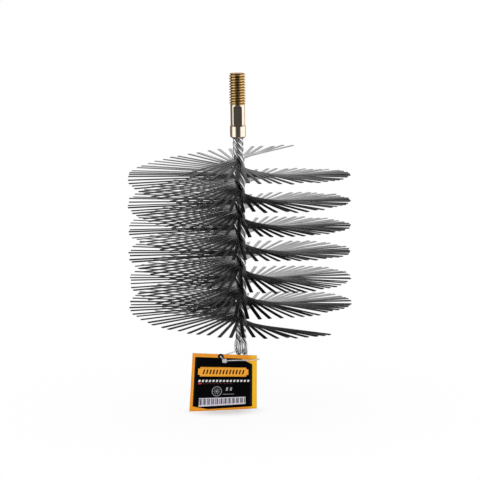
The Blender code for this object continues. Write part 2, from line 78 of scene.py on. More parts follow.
# %% [markdown]
# ## Sizes that the surfaces share with the CAD model
# A dressed piece has to stand where its solid stands, so the lengths of the CAD source are
# repeated here. Heights are then worked out from lengths, never typed twice.

# %% Sizes of the stud, the stem and the strips
THREAD_DIAMETER = 0.0111
THREAD_PITCH = 0.001814
THREAD_LENGTH = 0.0212
THREAD_DEPTH = 0.00110
STUD_CHAMFER = 0.0008
SHANK_DIAMETER = 0.0099
SHANK_LENGTH = 0.0139
ACROSS_FLATS = 0.0080
FLAT_RUNOUT = 0.0008
COLLAR_DIAMETER = 0.0108
COLLAR_LENGTH = 0.0089
BORE_DIAMETER = 0.0078
BORE_DEPTH = 0.0070
TOP_NECK_LENGTH = 0.0140
BOTTOM_NECK_LENGTH = 0.0089
STRIP_COUNT = 204
STRIP_PITCH = 0.00056
TWIST_PITCH = 0.0352
TOP_TWIST_PITCH = 0.0166
FIRST_STRIP_TURN = 1 / 6
SPREAD_RUN = 0.0025
BRUSH_DIAMETER = 0.1524

THREAD_END_Z = -THREAD_LENGTH
SHANK_END_Z = THREAD_END_Z - SHANK_LENGTH
COLLAR_END_Z = SHANK_END_Z - COLLAR_LENGTH
BORE_END_Z = COLLAR_END_Z + BORE_DEPTH
FIRST_STRIP_Z = COLLAR_END_Z - TOP_NECK_LENGTH
LAST_STRIP_Z = FIRST_STRIP_Z - (STRIP_COUNT - 1) * STRIP_PITCH
GRIP_TOP_Z = FIRST_STRIP_Z + SPREAD_RUN
GRIP_FOOT_Z = LAST_STRIP_Z - SPREAD_RUN
EYE_TOP_Z = LAST_STRIP_Z - BOTTOM_NECK_LENGTH
print(f"strips from {FIRST_STRIP_Z * 1000:.1f} to {LAST_STRIP_Z * 1000:.1f} mm")

# %% [markdown]
# ## Tools for surfaces
# Most pieces here are a closed outline carried along a path: a wire is a circle along a
# twisted line, a strip is a flat oval along a straight one. So one tool joins rings of
# points into a skin, and one makes an object of it. The arrays hold every point at once, so
# numpy works them out without a loop.

# %% Rings to skins
SHARP_ANGLE = math.radians(40.0)


def ring_quads(rings, around):
    """Quads that join each ring of points to the next one, counted ring by ring."""
    row = np.arange(rings - 1)[:, None] * around
    here = np.arange(around)[None, :]
    there = (here + 1) % around
    corners = (row + here, row + there, row + around + there, row + around + here)
    return np.stack(corners, axis=-1).reshape(-1, 4)


def tube_faces(tubes, rings, around):
    """Quads and end caps of several equal tubes whose points follow one another."""
    quads = ring_quads(rings, around)
    start = np.arange(around)[::-1][None, :]
    end = (rings - 1) * around + np.arange(around)[None, :]
    offsets = (np.arange(tubes) * rings * around)[:, None, None]
    return [
        face
        for group in (quads, start, end)
        for face in (group[None] + offsets).reshape(-1, group.shape[1]).tolist()
    ]


def make_piece(name, points, faces, body, uv=None):
    """An object at the origin that rides on a body. uv holds one pair for each point."""
    mesh = bpy.data.meshes.new(name)
    mesh.from_pydata(np.asarray(points).reshape(-1, 3).tolist(), [], faces)
    if uv is not None:
        corner_points = np.empty(len(mesh.loops), np.int64)
        mesh.loops.foreach_get("vertex_index", corner_points)
        layer = mesh.uv_layers.new(name="surface")
        layer.uv.foreach_set("vector", uv.reshape(-1, 2)[corner_points].ravel())
    mesh.shade_smooth()
    mesh.set_sharp_from_angle(angle=SHARP_ANGLE)
    piece = bpy.data.objects.new(name, mesh)
    scene.collection.objects.link(piece)
    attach(piece, body)
    return piece


def ease(share):
    """0 to 1 with no slope at either end."""
    share = np.clip(share, 0.0, 1.0)
    return share * share * (3.0 - 2.0 * share)


print("a tube of 3 rings with 8 points has", len(tube_faces(1, 3, 8)), "faces")

# %% [markdown]
# ## Finishes
# Each finish is a Principled shader. Values that are the same all over stay on its sockets,
# and only what varies on the real part is driven by noise: streaks along drawn steel, the
# colours of chromate, the tooth of card. The noise reads object coordinates, or the piece's
# own UV map where streaks have to follow the metal.

# %% Tools for finishes


def new_finish(name, colour, roughness, metallic=0.0):
    """A material with a Principled shader. Returns it, its nodes, its links and the shader."""
    material = bpy.data.materials.new(name)
    material.use_nodes = True
    nodes = material.node_tree.nodes
    shader = nodes["Principled BSDF"]
    shader.inputs["Base Color"].default_value = (*colour, 1.0)
    shader.inputs["Roughness"].default_value = roughness
    shader.inputs["Metallic"].default_value = metallic
    return material, nodes, material.node_tree.links, shader


def add_noise(nodes, links, scale, stretch=(1.0, 1.0, 1.0), detail=3.0, along_uv=False):
    """Noise in object coordinates, or along the UV map, with a stretch for each axis."""
    place = nodes.new("ShaderNodeTexCoord")
    mapping = nodes.new("ShaderNodeMapping")
    mapping.inputs["Scale"].default_value = stretch
    noise = nodes.new("ShaderNodeTexNoise")
    noise.inputs["Scale"].default_value = scale
    noise.inputs["Detail"].default_value = detail
    links.new(place.outputs["UV" if along_uv else "Object"], mapping.inputs["Vector"])
    links.new(mapping.outputs["Vector"], noise.inputs["Vector"])
    return noise.outputs["Fac"]


def add_ramp(nodes, links, socket, stops):
    """The colour of a ramp over a socket, with (place, colour) stops."""
    ramp = nodes.new("ShaderNodeValToRGB")
    elements = ramp.color_ramp.elements
    for element, (place, colour) in zip(elements, stops):
        element.position = place
        element.color = (*colour, 1.0)
    for place, colour in stops[2:]:
        elements.new(place).color = (*colour, 1.0)
    links.new(socket, ramp.inputs["Fac"])
    return ramp.outputs["Color"]


def grey(value):
    return (value, value, value)


def add_greys(nodes, links, noise, first, second):
    """A grey that goes from the first value to the second with a noise."""
    return add_ramp(nodes, links, noise, [(0.3, grey(first)), (0.7, grey(second))])


def add_bump(nodes, links, shader, noise, distance):
    """Small relief from a noise, in metres."""
    bump = nodes.new("ShaderNodeBump")
    bump.inputs["Distance"].default_value = distance
    links.new(noise, bump.inputs["Height"])
    links.new(bump.outputs["Normal"], shader.inputs["Normal"])


print("finish tools ready")

# %% [markdown]
# What varies by place, not by noise, is worked out from a coordinate by a step or two of
# arithmetic, stretched to a span, and used to go from one colour to another.

# %% Tools for what varies by place


def add_parts(nodes, links, output="Object"):
    """The X, Y and Z sockets of a texture coordinate."""
    place = nodes.new("ShaderNodeTexCoord")
    parts = nodes.new("ShaderNodeSeparateXYZ")
    links.new(place.outputs[output], parts.inputs["Vector"])
    return parts.outputs


def add_math(nodes, links, operation, first, second, clamp=False):
    """One step of arithmetic on two sockets, or on a socket and a number."""
    step = nodes.new("ShaderNodeMath")
    step.operation = operation
    step.use_clamp = clamp
    for entry, value in zip(step.inputs, (first, second)):
        if isinstance(value, float):
            entry.default_value = value
        else:
            links.new(value, entry)
    return step.outputs["Value"]


def off_axis(nodes, links):
    """The distance of a point from the stem's axis, from its object coordinates."""
    place = nodes.new("ShaderNodeTexCoord")
    flat = nodes.new("ShaderNodeVectorMath")
    flat.operation = "MULTIPLY"
    flat.inputs[1].default_value = (1.0, 1.0, 0.0)
    length = nodes.new("ShaderNodeVectorMath")
    length.operation = "LENGTH"
    links.new(place.outputs["Object"], flat.inputs[0])
    links.new(flat.outputs["Vector"], length.inputs[0])
    return length.outputs["Value"]


def add_range(nodes, links, socket, start, end, low=0.0, high=1.0):
    """A value that goes from low to high while the socket goes from start to end."""
    span = nodes.new("ShaderNodeMapRange")
    span.inputs["From Min"].default_value = start
    span.inputs["From Max"].default_value = end
    span.inputs["To Min"].default_value = low
    span.inputs["To Max"].default_value = high
    links.new(socket, span.inputs["Value"])
    return span.outputs["Result"]


def add_mix(nodes, links, factor, first, second):
    """A colour that goes from the first to the second socket with the factor."""
    mix = nodes.new("ShaderNodeMix")
    mix.data_type = "RGBA"
    links.new(factor, mix.inputs["Factor"])
    links.new(first, mix.inputs["A"])
    links.new(second, mix.inputs["B"])
    return mix.outputs["Result"]


print("place tools ready")

# %% [markdown]
# ### Metals
# The strips are dark tempered spring steel with streaks along their length. The wires are
# bright galvanised steel. The stud is zinc plated with a yellow chromate, whose thin film
# shimmers from gold to pink and green, so its colour comes from a slow noise through a ramp.

# %% Metals
WIRE_RELIEF = 0.00001
STEEL_RELIEF = 0.00002
PAINTED_ROOT_LIGHT_RADIUS = 0.008  # from the stem's axis, where the painted light on the roots starts to fade
DARK_RADIUS = 0.060


def dark_spring_steel():
    """Dark steel with streaks along the strip. Near the stem it is paler, as painted light on
    the crowded roots that shade one another, and strips that point rearwards are painted paler
    as light from the white ground. Its reflection is painted weaker on strips that point forwards."""
    material, nodes, links, shader = new_finish("dark_spring_steel", grey(0.08), 0.24, 1.0)
    streaks = add_noise(nodes, links, 1.0, (40.0, 2500.0, 1.0), 4.0, along_uv=True)
    # painted light: a paler grey for the roots near the stem, which the crowded strips shade
    pale = add_greys(nodes, links, streaks, 0.27, 0.56)
    dark = add_greys(nodes, links, streaks, 0.04, 0.14)
    # painted light: a paler grey for strips that point rearwards, against the white ground
    painted_rear_light = add_greys(nodes, links, streaks, 0.22, 0.44)
    radius = off_axis(nodes, links)
    rearward = add_math(nodes, links, "DIVIDE", add_parts(nodes, links)["Y"], radius)
    behind = add_range(nodes, links, rearward, 0.0, 0.5)
    tips = add_mix(nodes, links, behind, dark, painted_rear_light)
    reach = add_range(nodes, links, radius, PAINTED_ROOT_LIGHT_RADIUS, DARK_RADIUS)
    links.new(add_mix(nodes, links, reach, pale, tips), shader.inputs["Base Color"])
    # painted reflection: weaker on strips that point forwards, stronger on those that point rearwards
    painted_rear_reflection = add_range(nodes, links, rearward, -0.1, 0.5, 0.38, 0.85)
    links.new(painted_rear_reflection, shader.inputs["Specular Tint"])
    links.new(add_greys(nodes, links, streaks, 0.30, 0.20), shader.inputs["Roughness"])
    add_bump(nodes, links, shader, streaks, STEEL_RELIEF)
    return material


def bright_wire():
    """Bright zinc with faint lines along the wire."""
    material, nodes, links, shader = new_finish("bright_wire", grey(0.7), 0.16, 1.0)
    lines = add_noise(nodes, links, 1.0, (120.0, 14.0, 1.0), 4.0, along_uv=True)
    zincs = [(0.3, (0.58, 0.58, 0.60)), (0.7, (0.88, 0.88, 0.89))]
    links.new(add_ramp(nodes, links, lines, zincs), shader.inputs["Base Color"])
    links.new(add_greys(nodes, links, lines, 0.22, 0.12), shader.inputs["Roughness"])
    add_bump(nodes, links, shader, lines, WIRE_RELIEF)
    return material


def yellow_zinc():
    """Chromate that turns pink and green from place to place: golden on the thread, where it
    is thick, and pale on the smooth shank and collar. The grooves get a painted shade."""
    material, nodes, links, shader = new_finish("yellow_zinc", (0.80, 0.64, 0.40), 0.17, 1.0)
    shader.inputs["Specular Tint"].default_value = (0.74, 0.56, 0.32, 1.0)
    film = add_noise(nodes, links, 420.0, (1.0, 1.0, 2.4))
    places = (0.30, 0.44, 0.56, 0.68)
    gold = ((0.78, 0.38, 0.26), (0.92, 0.60, 0.26), (0.95, 0.74, 0.38), (0.52, 0.62, 0.26))
    straw = ((0.91, 0.68, 0.58), (0.93, 0.79, 0.66), (0.95, 0.84, 0.71), (0.84, 0.75, 0.50))
    golden = add_ramp(nodes, links, film, list(zip(places, gold)))
    pale = add_ramp(nodes, links, film, list(zip(places, straw)))
    # painted shade: a dark brown deep in the thread's grooves
    painted_groove_shade = add_ramp(nodes, links, film, [(0.3, (0.40, 0.22, 0.10)), (0.7, (0.40, 0.32, 0.12))])
    height = add_parts(nodes, links)["Z"]
    top, foot = THREAD_END_Z + STUD_CHAMFER, THREAD_END_Z - STUD_CHAMFER
    smooth = add_range(nodes, links, height, top, foot)
    crest = THREAD_DIAMETER / 2 - 0.25 * THREAD_DEPTH
    root = THREAD_DIAMETER / 2 - 0.75 * THREAD_DEPTH
    groove = add_range(nodes, links, off_axis(nodes, links), crest, root)
    thread = add_mix(nodes, links, groove, golden, painted_groove_shade)
    links.new(add_mix(nodes, links, smooth, thread, pale), shader.inputs["Base Color"])
    links.new(add_range(nodes, links, height, top, foot, 0.27, 0.17), shader.inputs["Roughness"])
    turned = add_noise(nodes, links, 1.0, (60.0, 60.0, 9000.0), 2.0)
    add_bump(nodes, links, shader, turned, STEEL_RELIEF)
    return material


STRIP_STEEL = dark_spring_steel()
WIRE_ZINC = bright_wire()
STUD_CHROMATE = yellow_zinc()
print("metals:", STRIP_STEEL.name, WIRE_ZINC.name, STUD_CHROMATE.name)

# %% [markdown]
# ## Stud
# One turned piece: a right-hand thread, a shank with two spanner flats, and the collar that
# is pressed onto the wires. It could be a cut and joined set of solids, as the CAD model
# does it. For looks it is quicker and finer as one surface: a radius for every angle and
# height. The thread is a wave that climbs one pitch a turn, and a flat is an upper limit on
# the radius that grows with the distance from its middle.

# %% Stud
COLUMNS = 96
ROWS_PER_PITCH = 14
THREAD_CREST_SHARE = 0.26
THREAD_ROOT_SHARE = 0.14
COLLAR_TOP_CHAMFER = 0.0006
COLLAR_FOOT_CHAMFER = 0.0012
THREAD_FADE = 0.0009
STEP = 0.00002
CENTRE_SHARE = 0.004  # how small the ring is that closes a round face


def thread_radius(angle, z):
    """Root radius plus a ridge, whose place in the pitch is height less the share of a turn."""
    place = np.mod(z / THREAD_PITCH - angle / (2 * math.pi), 1.0)
    off_crest = 2.0 * np.abs(place - 0.5)
    flank = (off_crest - THREAD_CREST_SHARE) / (1.0 - THREAD_CREST_SHARE - THREAD_ROOT_SHARE)
    height = THREAD_DEPTH * (1.0 - np.clip(flank, 0.0, 1.0))
    cut = THREAD_DIAMETER / 2 - THREAD_DEPTH + height
    fade = ease((THREAD_END_Z + THREAD_FADE - z) / THREAD_FADE)
    return cut + fade * (SHANK_DIAMETER / 2 - cut)


def collar_radius(z):
    """The collar with a chamfer at its top and its foot."""
    top = COLLAR_DIAMETER / 2 - COLLAR_TOP_CHAMFER + (SHANK_END_Z - z)
    foot = COLLAR_DIAMETER / 2 - COLLAR_FOOT_CHAMFER + (z - COLLAR_END_Z)
    return np.minimum(COLLAR_DIAMETER / 2, np.minimum(top, foot))


def stud_radius(angle, z):
    """The stud's radius: thread, shank or collar by height, under the chamfer and the flats."""
    radius = np.where(
        z > THREAD_END_Z,
        thread_radius(angle, z),
        np.where(z > SHANK_END_Z, SHANK_DIAMETER / 2, collar_radius(z)),
    )
    chamfer = THREAD_DIAMETER / 2 - STUD_CHAMFER - z
    ramp = np.maximum(z - (THREAD_END_Z - 2 * FLAT_RUNOUT), 0.0)
    flat = (ACROSS_FLATS / 2 + ramp) / np.maximum(np.abs(np.sin(angle)), 0.01)
    milled = (z < THREAD_END_Z) & (z > SHANK_END_Z - FLAT_RUNOUT)
    return np.minimum(np.minimum(radius, chamfer), np.where(milled, flat, chamfer))


def stud_points():
    """A grid of points: the end face, the outside, the foot and the bore, from top to bottom."""
    corner = math.asin(ACROSS_FLATS / SHANK_DIAMETER)
    turned = math.asin(ACROSS_FLATS / COLLAR_DIAMETER)
    corners = [side + sign * a for side in (0, math.pi) for sign in (-1, 1) for a in (corner, turned)]
    angle = np.unique(np.mod(np.r_[np.arange(COLUMNS) * 2 * math.pi / COLUMNS, corners], 2 * math.pi))
    levels = np.r_[
        np.arange(0.0, THREAD_END_Z, -THREAD_PITCH / ROWS_PER_PITCH),
        np.linspace(THREAD_END_Z - STEP, SHANK_END_Z, 30),
        SHANK_END_Z - STEP,
        np.linspace(SHANK_END_Z - COLLAR_TOP_CHAMFER, SHANK_END_Z - FLAT_RUNOUT + STEP, 2),
        np.linspace(SHANK_END_Z - FLAT_RUNOUT, COLLAR_END_Z + COLLAR_FOOT_CHAMFER, 8),
        COLLAR_END_Z,
    ]
    radius = stud_radius(angle[None, :], levels[:, None])
    end = np.array([CENTRE_SHARE, 0.5, 0.9])[:, None] * radius[:1]
    bore = np.full((5, len(angle)), BORE_DIAMETER / 2)
    bore[:2] = np.array([0.5, 0.05])[:, None] * (radius[-1:] - BORE_DIAMETER / 2) + BORE_DIAMETER / 2
    bore[-1] = CENTRE_SHARE * BORE_DIAMETER
    bore_z = [COLLAR_END_Z, COLLAR_END_Z, COLLAR_END_Z + STEP, BORE_END_Z, BORE_END_Z]
    radius = np.concatenate([end, radius, bore])
    z = np.concatenate([np.zeros(len(end)), levels, bore_z])
    angle = np.broadcast_to(angle, radius.shape)
    z = np.broadcast_to(z[:, None], radius.shape)
    return np.stack([radius * np.cos(angle), radius * np.sin(angle), z], axis=-1)


grid = stud_points()
levels, around = grid.shape[:2]
quads = ring_quads(levels, around)[:, ::-1].tolist()
first = list(range(around))
last = [around * (levels - 1) + i for i in reversed(first)]
stud = make_piece("stud_turned", grid, [*quads, first, last], "brush")
stud.data.materials.append(STUD_CHROMATE)
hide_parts("rod_stud")
print("stud:", len(stud.data.polygons), "faces")

# %% [markdown]
# ## Stem wires
# Two wires are folded once each and twisted together, so four legs run down the stem and the
# folds are the eyes at its foot. A leg's centreline is an offset both ways from the axis,
# turned by the stem's twist at each height, and the legs spread where they hold the strips.
# The line is worked out as in the CAD model, only with more points. The wire can be as thick
# as the real one here, because a picture needs no play between its strands.

# %% Stem wires
WIRE_DIAMETER = 0.0026
NECK_OFFSET = 0.0017
GRIP_ACROSS = 0.0026
GRIP_ALONG = 0.0015
EYE_LENGTH = 0.0121
EYE_YAW = 15.0 / 360.0  # turns that the eyes stand past their even place
EYE_SWELL = 0.0076
EYE_SWELL_POWER = 0.95
EYE_BULGE = 0.0002
EYE_SPLAY = 0.0003
EYE_TWIST_RUN = 0.0045
BOTTOM_TURNS = 0.5
WIRE_END_ROOM = 0.0012
WIRE_SIDES = 16
POINTS_PER_TURN = 36
EYE_POINTS = 60

GRIP_FOOT_TURN = FIRST_STRIP_TURN + (FIRST_STRIP_Z - GRIP_FOOT_Z) / TWIST_PITCH
EYE_TURN = round(2 * (GRIP_FOOT_TURN + BOTTOM_TURNS)) / 2 + EYE_YAW


def stem_turns(z):
    """Turns of the stem at a height: even where it grips, quicker above, easing out below."""
    z = np.asarray(z, float)
    gripped = FIRST_STRIP_TURN + (FIRST_STRIP_Z - z) / TWIST_PITCH
    extra = np.maximum(z - GRIP_TOP_Z, 0.0) * (1 / TOP_TWIST_PITCH - 1 / TWIST_PITCH)
    share = np.clip((GRIP_FOOT_Z - z) / (GRIP_FOOT_Z - EYE_TOP_Z + EYE_TWIST_RUN), 0.0, 1.0)
    foot = GRIP_FOOT_TURN + (EYE_TURN - GRIP_FOOT_TURN) * (4.0 * share - share**4) / 3.0
    return np.where(z < GRIP_FOOT_Z, foot, gripped - extra)


def turned_points(along, across, z):
    """Offsets along and across the strips' direction, turned by the stem's twist."""
    angle = 2 * math.pi * stem_turns(z)
    x = along * np.cos(angle) - across * np.sin(angle)
    y = along * np.sin(angle) + across * np.cos(angle)
    return np.stack([x, y, z], axis=-1)


def leg_line(wire_side, leg_side):
    """A leg from its end in the collar down to its eye, with even steps of twist."""
    dense = np.linspace(BORE_END_Z - WIRE_END_ROOM, EYE_TOP_Z, 8 * STRIP_COUNT)
    turns = stem_turns(dense)
    steps = math.ceil((turns[-1] - turns[0]) * POINTS_PER_TURN)
    z = np.interp(np.linspace(turns[0], turns[-1], steps + 1), turns, dense)
    grip = ease(np.minimum(GRIP_TOP_Z - z, z - GRIP_FOOT_Z) / (SPREAD_RUN - STRIP_PITCH))
    along = NECK_OFFSET + grip * (GRIP_ALONG - NECK_OFFSET)
    across = NECK_OFFSET + grip * (GRIP_ACROSS - NECK_OFFSET)
    return turned_points(wire_side * along, leg_side * across, z)


def wire_line(wire_side):
    """Down one leg, round the eye as a swollen half ring, and up the other leg."""
    angle = np.linspace(0.0, math.pi, EYE_POINTS + 1)[1:-1]
    depth = np.sin(angle)
    along = NECK_OFFSET + EYE_SPLAY * depth + 4.0 * EYE_BULGE * depth * (1.0 - depth)
    across = np.cos(angle) * (NECK_OFFSET + EYE_SWELL * depth**EYE_SWELL_POWER)
    eye = turned_points(wire_side * along, across, EYE_TOP_Z - EYE_LENGTH * depth)
    return np.concatenate([leg_line(wire_side, 1), eye, leg_line(wire_side, -1)[::-1]])


def unit(vectors):
    return vectors / np.linalg.norm(vectors, axis=-1, keepdims=True)


def swept_rings(line, radius, outward, sides):
    """Circles round a line: each lies across the line's direction and starts at outward."""
    ahead = unit(np.gradient(line, axis=0))
    out = unit(outward - np.sum(outward * ahead, axis=1, keepdims=True) * ahead)
    side = np.cross(ahead, out)
    angle = np.arange(sides) * 2 * math.pi / sides
    circle = np.cos(angle)[None, :, None] * out[:, None] + np.sin(angle)[None, :, None] * side[:, None]
    return line[:, None] + np.reshape(radius, (-1, 1, 1)) * circle


def line_uv(line, sides):
    """UV pairs: metres along the line, and turns round it."""
    steps = np.linalg.norm(np.diff(line, axis=0), axis=1)
    along = np.concatenate([[0.0], np.cumsum(steps)])
    return np.stack(np.meshgrid(along, np.arange(sides) / sides, indexing="ij"), axis=-1)


for number, wire_side in ((1, 1), (2, -1)):
    line = wire_line(wire_side)
    outward = line * np.array([1.0, 1.0, 0.0])
    rings = swept_rings(line, WIRE_DIAMETER / 2, outward, WIRE_SIDES)
    faces = tube_faces(1, len(line), WIRE_SIDES)
    uv = line_uv(line, WIRE_SIDES)
    wire = make_piece(f"stem_wire_{number}_bright", rings, faces, "brush", uv)
    wire.data.materials.append(WIRE_ZINC)
    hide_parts(f"stem_wire_{number}")
    print(wire.name, "is", f"{uv[-1, 0, 0] * 1000:.0f} mm long with", len(faces), "faces")

# %% [markdown]
# ## Steel strips
# Some two hundred flat strips run through the stem, each turned a little from the one above,
# so their tips make a spiral. Neighbours droop or lift together, as they were pressed in
# storage, and the CAD model has that droop row by row. Real strips are not quite even either:
# each half also leans, swings and turns about its own length a little, and ends a little
# short. So every strip is a slim outline with eased corners, carried through six stations,
# with the droop of its row and a small bend of its own from a seeded random draw. All strips
# are computed in one array. Each half turn of the stem, which takes the tips once round, is
# one piece and stands for its CAD bundles.

# %% Steel strips
STRIP_WIDTH = 0.0024
STRIP_THICKNESS = 0.0006
STRIP_EDGE = 0.00012
STRIP_CROWN = 0.00003
STATIONS = np.array([-1.0, -0.55, -0.12, 0.12, 0.55, 1.0])
STRIPS_PER_BUNDLE = 4
BUNDLES_PER_ROW = 8  # about half a turn of the stem
# How far the tips hang down in each half turn, from the top, straight in front and behind
FRONT_DROOPS = (0.0034, 0.0052, 0.0032, 0.0012, 0.0058, 0.0048, 0.0)
BACK_DROOPS = (-0.0012, -0.0030, -0.0030, -0.0032, -0.0038, -0.0028, -0.0020)
FIRST_DROOP_PLACE = 0.25  # of a half turn below the first strip
OWN_DROOP = 0.0003
OWN_TURN = math.radians(3.0)
SWING = 0.0006
SHORTFALL = 0.0016
DRAW_LIMIT = 1.8  # draws beyond this many standard deviations are cut to it
STRIP_SEED = 7


def strip_outline():
    """(across, up) points round a strip: flat faces with a slight crown and eased corners."""
    half = STRIP_WIDTH / 2
    thick = STRIP_THICKNESS / 2
    quarter = [(half, thick - STRIP_EDGE), (half - STRIP_EDGE, thick), (0.0, thick + STRIP_CROWN)]
    top = quarter + [(-half + STRIP_EDGE, thick), (-half, thick - STRIP_EDGE)]
    return np.array(top + [(-across, -up) for across, up in top])


def row_droop(number, facing):
    """Tip droop of a half: its row's value where it faces front or back, none at the sides."""
    half_turn = TWIST_PITCH / STRIP_PITCH / 2
    row = number / half_turn
    places = FIRST_DROOP_PLACE + np.arange(len(FRONT_DROOPS))
    front = np.interp(row, places, FRONT_DROOPS)
    back = np.interp(row, places, BACK_DROOPS)
    return np.maximum(-facing, 0.0) * front + np.maximum(facing, 0.0) * back


def strip_rings(count):
    """Rings of all strips, as strips x stations x outline points x 3."""
    draw = np.random.default_rng(STRIP_SEED)

    def uneven(size):
        return size * draw.standard_normal((count, 2)).clip(-DRAW_LIMIT, DRAW_LIMIT)

    number = np.arange(count)
    angle = 2 * math.pi * (FIRST_STRIP_TURN + number * STRIP_PITCH / TWIST_PITCH)
    halves = (STATIONS > 0).astype(int)
    facing = np.sin(angle)[:, None] * np.array([-1.0, 1.0])
    reach = BRUSH_DIAMETER / 2 - SHORTFALL * draw.random((count, 2)) ** 2
    lift = uneven(OWN_DROOP) - row_droop(number[:, None], facing)
    swing = uneven(SWING)
    turn = uneven(OWN_TURN)
    along = STATIONS * reach[:, halves]
    bend = np.abs(STATIONS)
    ahead = np.stack([np.cos(angle), np.sin(angle), 0 * angle], axis=-1)[:, None, None]
    side = np.stack([-np.sin(angle), np.cos(angle), 0 * angle], axis=-1)[:, None, None]
    wide, thick = strip_outline().T
    turned = (np.minimum(bend / bend[1], 1.0) * turn[:, halves])[..., None]
    across = (bend * swing[:, halves])[..., None] + wide * np.cos(turned) - thick * np.sin(turned)
    height = FIRST_STRIP_Z - number * STRIP_PITCH
    up = (height[:, None] + bend * lift[:, halves])[..., None]
    up = up + wide * np.sin(turned) + thick * np.cos(turned)
    points = along[..., None, None] * ahead + across[..., None] * side
    points[..., 2] += up
    lengthwise = along[..., None] + number[:, None, None] + 0 * across
    return points, np.stack([lengthwise, wide + 0 * across], axis=-1)


rings, strip_uv = strip_rings(STRIP_COUNT)
bundles = STRIP_COUNT // STRIPS_PER_BUNDLE
for row_number, first in enumerate(range(0, bundles, BUNDLES_PER_ROW), 1):
    last = min(first + BUNDLES_PER_ROW, bundles)
    chosen = slice(first * STRIPS_PER_BUNDLE, last * STRIPS_PER_BUNDLE)
    name = f"strips_row_{row_number}"
    points = rings[chosen]
    faces = tube_faces(*points.shape[:3])
    row = make_piece(name, points, faces, "brush", strip_uv[chosen])
    row.data.materials.append(STRIP_STEEL)
    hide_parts(*[f"bristles_{number + 1:02d}" for number in range(first, last)])
    print(row.name, "has", len(points), "strips and", len(faces), "faces")

# %% [markdown]
# ## Card tag
# A thin printed card hangs from a punched hole near the middle of its top edge, a little out
# of square and gently twisted. A flat plane with a picture would do for a far view, but the
# twist shows in how its borders run. So the card is a surface between its hole and its
# border, and each printed shape is a thin skin of ink that follows the same surface, in
# shares of the card's width and height. The print is generic: panels, bars and a ring.

# %% Card surface
TAG_TOP_WIDTH = 0.0440
TAG_FOOT_WIDTH = 0.0462
TAG_LEFT_HEIGHT = 0.0402
TAG_RIGHT_HEIGHT = 0.0380
TAG_THICKNESS = 0.0004
TAG_TILT = math.radians(3.0)
TAG_LEFT_LEAN = math.radians(5.0)
TAG_RIGHT_LEAN = math.radians(-6.0)
TAG_FOOT_SHIFT = 0.0008
TAG_HOLE_DROP = 0.0018
TAG_HOLE_SHARE = 0.44
TAG_HOLE_RADIUS = 0.0010
HOLE_PLACE = np.array([-0.0140, -0.008628, -0.19318])
TAG_RINGS = 24
TAG_SPOKES = 96


def card_points(across, down, proud=0.0):
    """Places on the card for shares across and down it, moved forward by proud metres."""
    height = TAG_LEFT_HEIGHT + across * (TAG_RIGHT_HEIGHT - TAG_LEFT_HEIGHT)
    lean = TAG_LEFT_LEAN + across * (TAG_RIGHT_LEAN - TAG_LEFT_LEAN)
    top_x = (across - TAG_HOLE_SHARE) * TAG_TOP_WIDTH
    foot_x = -TAG_HOLE_SHARE * TAG_TOP_WIDTH - TAG_FOOT_SHIFT + across * TAG_FOOT_WIDTH
    x = top_x + down * (foot_x - top_x)
    y = -down * height * np.sin(lean) - proud
    z = TAG_HOLE_DROP - down * height * np.cos(lean)
    turned_x = x * math.cos(TAG_TILT) + z * math.sin(TAG_TILT)
    turned_z = z * math.cos(TAG_TILT) - x * math.sin(TAG_TILT)
    return HOLE_PLACE + np.stack([turned_x, y, turned_z], axis=-1)


def card_grid():
    """Spokes from the hole's rim to the border: a share of each spoke's length, ring by ring."""
    width = (TAG_TOP_WIDTH + TAG_FOOT_WIDTH) / 2
    height = (TAG_LEFT_HEIGHT + TAG_RIGHT_HEIGHT) / 2
    centre = np.array([TAG_HOLE_SHARE, TAG_HOLE_DROP / TAG_LEFT_HEIGHT])
    corners = np.array([(0, 0), (1, 0), (1, 1), (0, 1)]) - centre
    corner_angles = np.arctan2(corners[:, 1], corners[:, 0])
    even = (np.arange(TAG_SPOKES) + 0.5) * 2 * math.pi / TAG_SPOKES - math.pi
    angle = np.unique(np.concatenate([even, corner_angles]))
    way = np.stack([np.cos(angle), np.sin(angle)], axis=-1)
    limits = np.where(way > 0, (1 - centre) / way, -centre / way)
    border = centre + way * np.min(limits, axis=1)[:, None]
    rim = centre + way * TAG_HOLE_RADIUS / np.array([width, height])
    share = np.linspace(0.0, 1.0, TAG_RINGS)[:, None, None]
    return rim[None] + share * (border - rim)[None]


shares = card_grid()
card = make_piece(
    "card_tag_printed",
    card_points(shares[..., 0], shares[..., 1]),
    ring_quads(*shares.shape[:2]).tolist(),
    "tag",
    shares,
)
wall = card.modifiers.new("card thickness", "SOLIDIFY")
wall.thickness = TAG_THICKNESS
wall.offset = 0.0
wall.material_offset = 1
wall.material_offset_rim = 1
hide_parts("card_tag")
print("card:", len(card.data.polygons), "faces")

# %% [markdown]
# ### Card and ink
# The card is coated, so its ink has a soft gloss over a fine tooth. The border is orange, with
# a painted highlight in yellow towards the right, where its edge catches light. Its back is bare
# board.

# %% Card and ink
CARD_RELIEF = 0.00001


def coated(name, colour, roughness=0.42, specular=0.25):
    """Printed card: a flat ink with the fine tooth of the board under it."""
    material, nodes, links, shader = new_finish(name, colour, roughness)
    shader.inputs["Specular IOR Level"].default_value = specular
    tooth = add_noise(nodes, links, 2600.0, detail=2.0)
    gloss = add_greys(nodes, links, tooth, roughness - 0.08, roughness + 0.08)
    links.new(gloss, shader.inputs["Roughness"])
    add_bump(nodes, links, shader, tooth, CARD_RELIEF)
    return material


def border_ink_painted_highlight():
    """Orange, with a painted highlight in yellow towards the card's right edge, where it catches
    light.
    """
    material = coated("border_ink_painted_highlight", (0.90, 0.34, 0.02))
    nodes = material.node_tree.nodes
    links = material.node_tree.links
    across = add_parts(nodes, links, "UV")["X"]
    # painted highlight: the yellow towards the right edge
    inks = add_ramp(nodes, links, across, [(0.86, (0.89, 0.33, 0.015)), (0.95, (0.96, 0.52, 0.008))])
    links.new(inks, nodes["Principled BSDF"].inputs["Base Color"])
    return material


